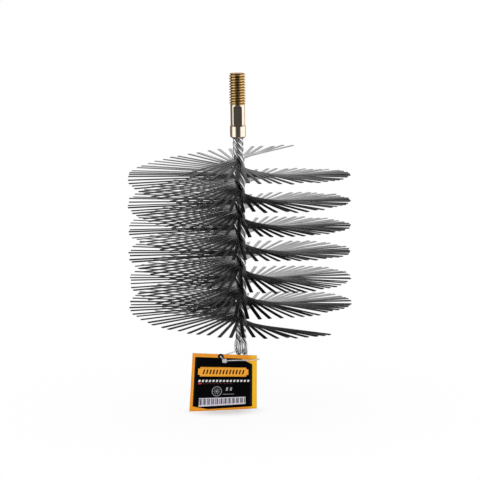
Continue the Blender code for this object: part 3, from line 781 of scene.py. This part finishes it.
card.data.materials.append(border_ink_painted_highlight())
card.data.materials.append(coated("bare_board", (0.72, 0.70, 0.66), 0.7))
INKS = {
    "black": coated("black_ink", (0.002, 0.002, 0.003), 0.30, 0.08),
    "orange": coated("orange_ink", (0.93, 0.39, 0.03)),
    "white": coated("white_ink", (0.80, 0.79, 0.80)),
    "grey": coated("grey_ink", (0.36, 0.36, 0.39)),
    "red": coated("red_ink", (0.70, 0.05, 0.05)),
    "dark_red": coated("dark_red_ink", (0.20, 0.03, 0.03)),
    "lilac": coated("lilac_ink", (0.76, 0.73, 0.82)),
}
print("inks:", ", ".join(INKS))

# %% [markdown]
# ### Print
# A printed panel lies between an upper and a lower line over a span of the card, so it is a
# surface of two shares: one along the span and one between the lines. A line is a few
# (across, down) corners. All patches of ink are gathered into one mesh, with a material for
# each colour, and get a wall as thin as a coat of ink.

# %% Print
INK_THICKNESS = 0.00003
INK_CELL = 0.05  # share of the card's side
CARD_SHAPE = TAG_TOP_WIDTH / TAG_RIGHT_HEIGHT
PATCHES = []


def print_patch(ink, upper, lower, layer=1):
    """A patch between two lines of (across, down) corners, laid on the card's front."""
    upper = np.array(upper, float)
    lower = np.array(lower, float)
    start, end = upper[[0, -1], 0]
    even = np.linspace(start, end, 2 + int((end - start) / INK_CELL))
    across = np.unique(np.clip([*even, *upper[:, 0], *lower[:, 0]], start, end))
    top = np.interp(across, upper[:, 0], upper[:, 1])
    foot = np.interp(across, lower[:, 0], lower[:, 1])
    rows = 2 + int(np.max(foot - top) / INK_CELL)
    share = np.linspace(0.0, 1.0, rows)[:, None]
    down = top + share * (foot - top)
    proud = TAG_THICKNESS / 2 + layer * INK_THICKNESS
    points = card_points(np.broadcast_to(across, down.shape), down, proud)
    PATCHES.append((ink, points, open_quads(*down.shape)))


def open_quads(rows, columns):
    """Quads of an open grid, wound to face forward."""
    here = np.arange(rows - 1)[:, None] * columns + np.arange(columns - 1)[None, :]
    return np.stack([here, here + columns, here + columns + 1, here + 1], axis=-1).reshape(-1, 4)


def print_box(ink, left, top, right, foot, layer=1):
    print_patch(ink, [(left, top), (right, top)], [(left, foot), (right, foot)], layer)


def print_ring(ink, centre, outer, inner, layer=2, sides=40):
    """A ring, or a disc when inner is almost nothing: shares of the card's width."""
    angle = np.linspace(0.0, 2 * math.pi, sides + 1)
    radius = np.array([outer, inner])[:, None]
    across = centre[0] + radius * np.cos(angle)
    down = centre[1] + radius * np.sin(angle) * CARD_SHAPE
    points = card_points(across, down, TAG_THICKNESS / 2 + layer * INK_THICKNESS)
    PATCHES.append((ink, points, open_quads(2, sides + 1)))


print_patch(
    "black",
    [(0.044, 0.062), (0.75, 0.068), (0.930, 0.168)],
    [(0.044, 0.915), (0.27, 0.970), (0.930, 0.955)],
)
PLAQUE_LEFT = [(0.10, 0.262), (0.13, 0.262), (0.132, 0.232)]
PLAQUE_RIGHT = [(0.838, 0.232), (0.84, 0.262), (0.87, 0.262)]
PLAQUE_TOP = PLAQUE_LEFT + PLAQUE_RIGHT
PLAQUE_MIDDLE = 0.315  # the foot mirrors the top about this line
print_patch("orange", PLAQUE_TOP, [(a, 2 * PLAQUE_MIDDLE - d) for a, d in PLAQUE_TOP], 2)


def print_slanted(ink, left, top, width, foot, slant=0.018, layer=3):
    """A bar whose top leans to the right of its foot, by less than its width."""
    right_top = (left + width + slant, top)
    upper = [(left, foot), (left + slant, top), right_top]
    print_patch(ink, upper, [(left, foot), (left + width, foot), right_top], layer)


# %% Generic marks: a row of bars on the plaque, dashes under it, a round brush in a ring
PLAQUE_BARS = 13
DASHES = 15
RED_DASHES = 9
SPOKES = 10

for place in np.linspace(0.17, 0.77, PLAQUE_BARS):
    print_slanted("black", place, 0.275, 0.022, 0.355)
for place in np.linspace(0.11, 0.85, DASHES):
    print_slanted("white", place, 0.456, 0.030, 0.494, 0.008)
print_slanted("red", 0.11, 0.510, 0.050, 0.532, 0.008)
for place in np.linspace(0.19, 0.60, RED_DASHES):
    print_box("dark_red", place, 0.518, place + 0.022, 0.528, 3)
RING_PLACE = (0.397, 0.66)
print_ring("grey", RING_PLACE, 0.076, 0.067)
print_ring("grey", RING_PLACE, 0.014, 0.002)


def print_spoke(angle, inner=0.022, outer=0.052, width=0.006):
    """A thin bar from the middle of the ring outwards: its corners in shares of the card."""
    reach = np.array([inner, outer])[:, None]
    aside = np.array([-0.5, 0.5])[None, :] * width
    across = RING_PLACE[0] + reach * math.cos(angle) - aside * math.sin(angle)
    down = RING_PLACE[1] + (reach * math.sin(angle) + aside * math.cos(angle)) * CARD_SHAPE
    points = card_points(across, down, TAG_THICKNESS / 2 + 2 * INK_THICKNESS)
    PATCHES.append(("grey", points, open_quads(2, 2)[:, ::-1]))


for angle in np.arange(SPOKES) * 2 * math.pi / SPOKES:
    print_spoke(angle)
for place in (0.53, 0.59):
    print_slanted("grey", place, 0.590, 0.028, 0.655, 0.010, 2)
print_box("grey", 0.49, 0.711, 0.66, 0.718, 2)

# %% Generic block of bars, whose widths follow a wave
BLOCK_LEFT = 0.13
BLOCK_RIGHT = 0.83
BLOCK_BARS = 34
block_foot = [(BLOCK_LEFT, 0.925), (BLOCK_RIGHT, 0.905)]
print_patch("lilac", [(BLOCK_LEFT, 0.775), (BLOCK_RIGHT, 0.772)], block_foot, 2)
cell = (BLOCK_RIGHT - BLOCK_LEFT) / BLOCK_BARS
for bar in range(BLOCK_BARS):
    width = cell * (0.52 + 0.30 * math.sin(2.1 * bar))
    left = BLOCK_LEFT + (bar + 0.1) * cell
    foot = np.interp(left, *np.transpose(block_foot)) - 0.028
    print_box("black", left, 0.786, left + width, foot, 3)
# A black ring round the hole; its inner edge reaches over the hole's rim, so that the hole looks dark.
print_ring("black", (TAG_HOLE_SHARE, 0.045), 0.046, 0.012, 3)

# %% Gather the print
sizes = [points.size // 3 for _, points, _ in PATCHES]
firsts = np.concatenate([[0], np.cumsum(sizes)[:-1]])
points = np.concatenate([points.reshape(-1, 3) for _, points, _ in PATCHES])
faces = np.concatenate([quads + first for (_, _, quads), first in zip(PATCHES, firsts)])
colours = np.concatenate([[list(INKS).index(ink)] * len(quads) for ink, _, quads in PATCHES])
ink = make_piece("card_tag_ink", points, faces.tolist(), "tag")
for material in INKS.values():
    ink.data.materials.append(material)
ink.data.polygons.foreach_set("material_index", colours)
wall = ink.modifiers.new("coat of ink", "SOLIDIFY")
wall.thickness = INK_THICKNESS
wall.offset = -1.0
print("print:", len(PATCHES), "patches,", len(faces), "faces")

# %% [markdown]
# ## Nylon tie
# A moulded nylon thread goes through the tag's hole and both eyes, comes round the tag's
# right edge, and locks into its own small head. The thread is a circle carried along a
# smooth line through a few places, worked out from the same lengths as in the CAD model. A
# curve object would give the same tube, but this way its frame is carried without a twist
# and the mesh is ready. The head is a rounded block with a shallow slot where it was locked.

# %% Route of the tie
TIE_DIAMETER = 0.0008
TIE_EYE_ROOM = 0.0005
TAG_ROOM = 0.0008
FIT_GAP = 0.0003
HEAD_SIZE = np.array([0.0031, 0.0022, 0.0028])
HEAD_OFFSET = 0.0025
FRONT_SAG = -0.0002
EDGE_ROOM = 0.0016
STRAND_Y = -0.007228
EYE_FOOT = np.array([0.0, 0.0, -0.19348])
CAD_WIRE_RADIUS = 0.0012
ARC_REACH = NECK_OFFSET + EYE_SPLAY + CAD_WIRE_RADIUS + TIE_EYE_ROOM + TIE_DIAMETER / 2
ARC_ANGLES = np.radians(np.linspace(120.0, -85.0, 8))
TIE_STEPS = 9
TIE_SIDES = 12

head_y = HOLE_PLACE[1] - TAG_THICKNESS / 2 - FIT_GAP - HEAD_SIZE[1] / 2
HEAD_PLACE = np.array([HOLE_PLACE[0] + HEAD_OFFSET, head_y, HOLE_PLACE[2] - HEAD_OFFSET])
EDGE_X = HOLE_PLACE[0] + (1 - TAG_HOLE_SHARE) * TAG_TOP_WIDTH + EDGE_ROOM


def tie_places():
    """From the head through the hole, over the eyes' feet, behind the tag and back in front."""
    hole_x, hole_y, hole_z = HOLE_PLACE
    head_x, head_y, head_z = HEAD_PLACE
    width, _, height = HEAD_SIZE
    below = EYE_FOOT[2] - ARC_REACH
    around = np.stack([np.cos(ARC_ANGLES), 0 * ARC_ANGLES, np.sin(ARC_ANGLES)], axis=-1)
    front = np.array([0.75, 0.50, 0.30])
    sag = 4 * front * (1 - front) * FRONT_SAG
    return np.concatenate([
        [
            (head_x, head_y, head_z),
            (head_x - 0.4 * width, hole_y - 0.8 * TIE_DIAMETER, head_z + 0.4 * height),
            (hole_x + 0.5 * TIE_DIAMETER, hole_y - TIE_DIAMETER / 4, hole_z - 0.5 * TIE_DIAMETER),
            (hole_x + 0.4 * TIE_DIAMETER, hole_y + TAG_ROOM, hole_z - 0.2 * TIE_DIAMETER),
            (hole_x + width / 2, STRAND_Y + TIE_DIAMETER, hole_z),
            (0.67 * hole_x, 0.45 * STRAND_Y, hole_z + TIE_DIAMETER),
            (-ARC_REACH - TIE_DIAMETER, 0.08 * STRAND_Y, hole_z + 2 * TIE_DIAMETER),
        ],
        EYE_FOOT + ARC_REACH * around,
        [
            (0.0, 0.40 * STRAND_Y, below - TIE_DIAMETER / 2),
            (TIE_DIAMETER, 0.93 * STRAND_Y, below),
            (0.33 * EDGE_X, STRAND_Y, below + TIE_DIAMETER),
            (EDGE_X - width / 2, STRAND_Y + TIE_DIAMETER / 2, head_z),
            (EDGE_X, HOLE_PLACE[1], head_z + TIE_DIAMETER / 2),
            (EDGE_X - width / 2, head_y, head_z + TIE_DIAMETER / 2),
        ],
        np.stack([head_x + front * (EDGE_X - head_x), head_y + 0 * front, head_z - sag], axis=-1),
        [(head_x + width / 3, head_y, head_z)],
    ])


def smooth_line(places, steps):
    """A cubic through the places that leaves each one in the direction of its neighbours."""
    padded = np.concatenate([[2 * places[0] - places[1]], places, [2 * places[-1] - places[-2]]])
    a, b, c, d = (padded[i : len(padded) - 3 + i, None, :] for i in range(4))
    t = np.linspace(0.0, 1.0, steps, endpoint=False)[None, :, None]
    squared = (2 * a - 5 * b + 4 * c - d) * t**2
    cubed = (3 * b - a - 3 * c + d) * t**3
    line = (2 * b + (c - a) * t + squared + cubed) / 2
    return np.concatenate([line.reshape(-1, 3), places[-1:]])


def carried_side(line):
    """A side direction carried along the line: each station keeps the last, less its lean."""
    ahead = unit(np.gradient(line, axis=0))
    sides = [unit(np.cross(ahead[0], (0.3, 1.0, 0.2)))]
    for direction in ahead[1:]:
        sides.append(unit(sides[-1] - np.dot(sides[-1], direction) * direction))
    return np.array(sides)


tie_line = smooth_line(tie_places(), TIE_STEPS)
strand = swept_rings(tie_line, TIE_DIAMETER / 2, carried_side(tie_line), TIE_SIDES)
print("tie:", f"{np.linalg.norm(np.diff(tie_line, axis=0), axis=1).sum() * 1000:.0f} mm of thread")

# %% Head of the tie
HEAD_ROUNDNESS = 0.28
HEAD_AROUND = 40
HEAD_RINGS = 22
SLOT_DEPTH = 0.00035
SLOT_ACROSS = 0.55  # share of the head's half width
SLOT_HIGH = 0.30  # share of its half height


def head_points():
    """A rounded block: a globe whose sines are raised to a small power, with a slot in front."""
    around = np.arange(HEAD_AROUND)[None, :] * 2 * math.pi / HEAD_AROUND
    polar = np.linspace(-0.5, 0.5, HEAD_RINGS + 2)[1:-1, None] * math.pi

    def squared_off(wave):
        return np.sign(wave) * np.abs(wave) ** HEAD_ROUNDNESS

    girth = squared_off(np.cos(polar))
    x = girth * squared_off(np.cos(around))
    z = girth * squared_off(np.sin(around))
    y = squared_off(np.sin(polar)) + 0 * around
    within = (1.0 - ease((x / SLOT_ACROSS) ** 2)) * (1.0 - ease((z / SLOT_HIGH) ** 2))
    y = y + within * (y < 0) * SLOT_DEPTH / (HEAD_SIZE[1] / 2)
    return HEAD_PLACE + np.stack([x, y, z], axis=-1) * HEAD_SIZE / 2


head = head_points()
tie_faces = tube_faces(1, len(tie_line), TIE_SIDES)
head_faces = tube_faces(1, HEAD_RINGS, HEAD_AROUND)
offset = len(tie_line) * TIE_SIDES
faces = tie_faces + [[corner + offset for corner in reversed(face)] for face in head_faces]
points = np.concatenate([strand.reshape(-1, 3), head.reshape(-1, 3)])
tie = make_piece("tag_tie_nylon", points, faces, "tie")
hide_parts("tag_tie")
print("tie:", len(faces), "faces")

# %% Nylon
NYLON_RELIEF = 0.00003


def white_nylon():
    """Moulded nylon: milky, half clear, with a faint ripple from the mould."""
    material, nodes, links, shader = new_finish("white_nylon", (0.95, 0.95, 0.96), 0.3)
    shader.inputs["Transmission Weight"].default_value = 0.5
    shader.inputs["IOR"].default_value = 1.53
    ripple = add_noise(nodes, links, 900.0, detail=2.0)
    links.new(add_greys(nodes, links, ripple, 0.24, 0.38), shader.inputs["Roughness"])
    add_bump(nodes, links, shader, ripple, NYLON_RELIEF)
    return material


tie.data.materials.append(white_nylon())
print("nylon on", tie.name)

# %% [markdown]
# ## Stage and light
# The photograph has a pure white ground and no visible horizon. A pale floor lies just under
# the tag and keeps its faint shadow. The world is white behind the object, and what metal
# sees of it has a dark zone round the camera, as any real camera and its operator are, so
# that round metal gets its dark middle line. The floor is left out of reflections, because a
# real one reaches only a little way and gives way to that dark zone.

# %% Stage
FLOOR_Z = -0.2309
FLOOR_SIZE = 30.0
SHADE_PLACE = (HOLE_PLACE[0] + 0.0020, HOLE_PLACE[1], FLOOR_Z)
SHADE_REACH = (0.030, 0.020, 1.0)
PLAIN_SHARES = (0.35, 0.93)  # of plain white in what the camera sees: in the shade, beyond it

floor_mesh = bpy.data.meshes.new("studio_floor")
half = FLOOR_SIZE / 2
corners = [(x * half, y * half, FLOOR_Z) for x, y in ((-1, -1), (1, -1), (1, 1), (-1, 1))]
floor_mesh.from_pydata(corners, [], [(0, 1, 2, 3)])
floor = bpy.data.objects.new("studio_floor", floor_mesh)
scene.collection.objects.link(floor)
floor.visible_glossy = False


def floor_finish():
    """Pale floor: part of what the camera sees is plain white, through the nylon too, and
    the rest is lit."""
    material, nodes, links, shader = new_finish("pale_floor", grey(0.98), 0.9)
    shader.inputs["Specular IOR Level"].default_value = 0.0
    white = nodes.new("ShaderNodeEmission")
    rays = nodes.new("ShaderNodeLightPath").outputs
    seen = add_math(nodes, links, "MAXIMUM", rays["Is Camera Ray"], rays["Is Transmission Ray"])
    place = nodes.new("ShaderNodeTexCoord")
    spread = nodes.new("ShaderNodeMapping")
    spread.vector_type = "TEXTURE"
    spread.inputs["Location"].default_value = SHADE_PLACE
    spread.inputs["Scale"].default_value = SHADE_REACH
    away = nodes.new("ShaderNodeVectorMath")
    away.operation = "LENGTH"
    links.new(place.outputs["Object"], spread.inputs["Vector"])
    links.new(spread.outputs["Vector"], away.inputs[0])
    plain = add_range(nodes, links, away.outputs["Value"], 0.3, 1.0, *PLAIN_SHARES)
    mix = nodes.new("ShaderNodeMixShader")
    links.new(add_math(nodes, links, "MULTIPLY", seen, plain), mix.inputs["Fac"])
    links.new(shader.outputs["BSDF"], mix.inputs[1])
    links.new(white.outputs["Emission"], mix.inputs[2])
    links.new(mix.outputs["Shader"], nodes["Material Output"].inputs["Surface"])
    return material


floor_mesh.materials.append(floor_finish())


# What gloss sees round the object: (degrees from the camera, rightwards, and brightness)
ROUND_ABOUT = (
    (-180, 1.0),
    (-162, 0.8),
    (-148, 0.16),
    (-95, 0.16),
    (-85, 1.25),
    (-41, 1.25),
    (-31, 0.06),
    (33, 0.06),
    (43, 1.25),
    (125, 1.25),
    (138, 0.3),
    (160, 0.8),
    (180, 1.0),
)
# and up it: (sine of the elevation and brightness)
UPWARDS = ((-1.0, 0.10), (-0.75, 0.15), (-0.45, 0.9), (0.0, 1.0), (0.5, 1.0), (0.75, 0.7), (1.0, 0.6))


def studio_world():
    """White for what the camera and soft light see. Gloss sees the panels of a studio."""
    world = bpy.data.worlds.new("studio")
    world.use_nodes = True
    nodes = world.node_tree.nodes
    links = world.node_tree.links
    parts = add_parts(nodes, links, "Generated")
    forward = add_math(nodes, links, "MULTIPLY", parts["Y"], -1.0)
    azimuth = add_math(nodes, links, "ARCTAN2", parts["X"], forward)
    turn = add_range(nodes, links, azimuth, -math.pi, math.pi)
    rise = add_range(nodes, links, parts["Z"], -1.0, 1.0)
    round_about = [((degrees + 180) / 360, grey(value)) for degrees, value in ROUND_ABOUT]
    upwards = [((sine + 1) / 2, grey(value)) for sine, value in UPWARDS]
    panels = nodes.new("ShaderNodeMix")
    panels.data_type = "RGBA"
    panels.blend_type = "MULTIPLY"
    panels.inputs["Factor"].default_value = 1.0
    links.new(add_ramp(nodes, links, turn, round_about), panels.inputs["A"])
    links.new(add_ramp(nodes, links, rise, upwards), panels.inputs["B"])
    rays = nodes.new("ShaderNodeLightPath").outputs
    seen = (rays["Is Glossy Ray"], rays["Is Transmission Ray"])
    mirrored = add_math(nodes, links, "SUBTRACT", *seen, clamp=True)
    mix = nodes.new("ShaderNodeMix")
    mix.data_type = "RGBA"
    mix.inputs["A"].default_value = (1.0, 1.0, 1.0, 1.0)
    links.new(mirrored, mix.inputs["Factor"])
    links.new(panels.outputs["Result"], mix.inputs["B"])
    links.new(mix.outputs["Result"], nodes["Background"].inputs["Color"])
    scene.world = world


studio_world()

# %% [markdown]
# The brush shades the tag that hangs under it. A wide soft lamp low in front gives the card
# the light that it loses there, so that its inks render about as they are written.

# %% Front lamp
LAMP_PLACE = Vector((-0.10, -1.60, -0.15))
LAMP_SIZE = 1.2
LAMP_WATTS = 9.0

softbox = bpy.data.lights.new("front_softbox", "AREA")
softbox.size = LAMP_SIZE
softbox.energy = LAMP_WATTS
lamp = bpy.data.objects.new("front_softbox", softbox)
lamp.location = LAMP_PLACE
lamp.rotation_euler = (TARGET - LAMP_PLACE).to_track_quat("-Z", "Y").to_euler()
lamp.visible_camera = False
lamp.visible_glossy = False
scene.collection.objects.link(lamp)
print("lamp", f"{(TARGET - LAMP_PLACE).length:.2f} m from the brush")

# %% Colour handling
scene.view_settings.view_transform = "Standard"
print("stage and world ready")
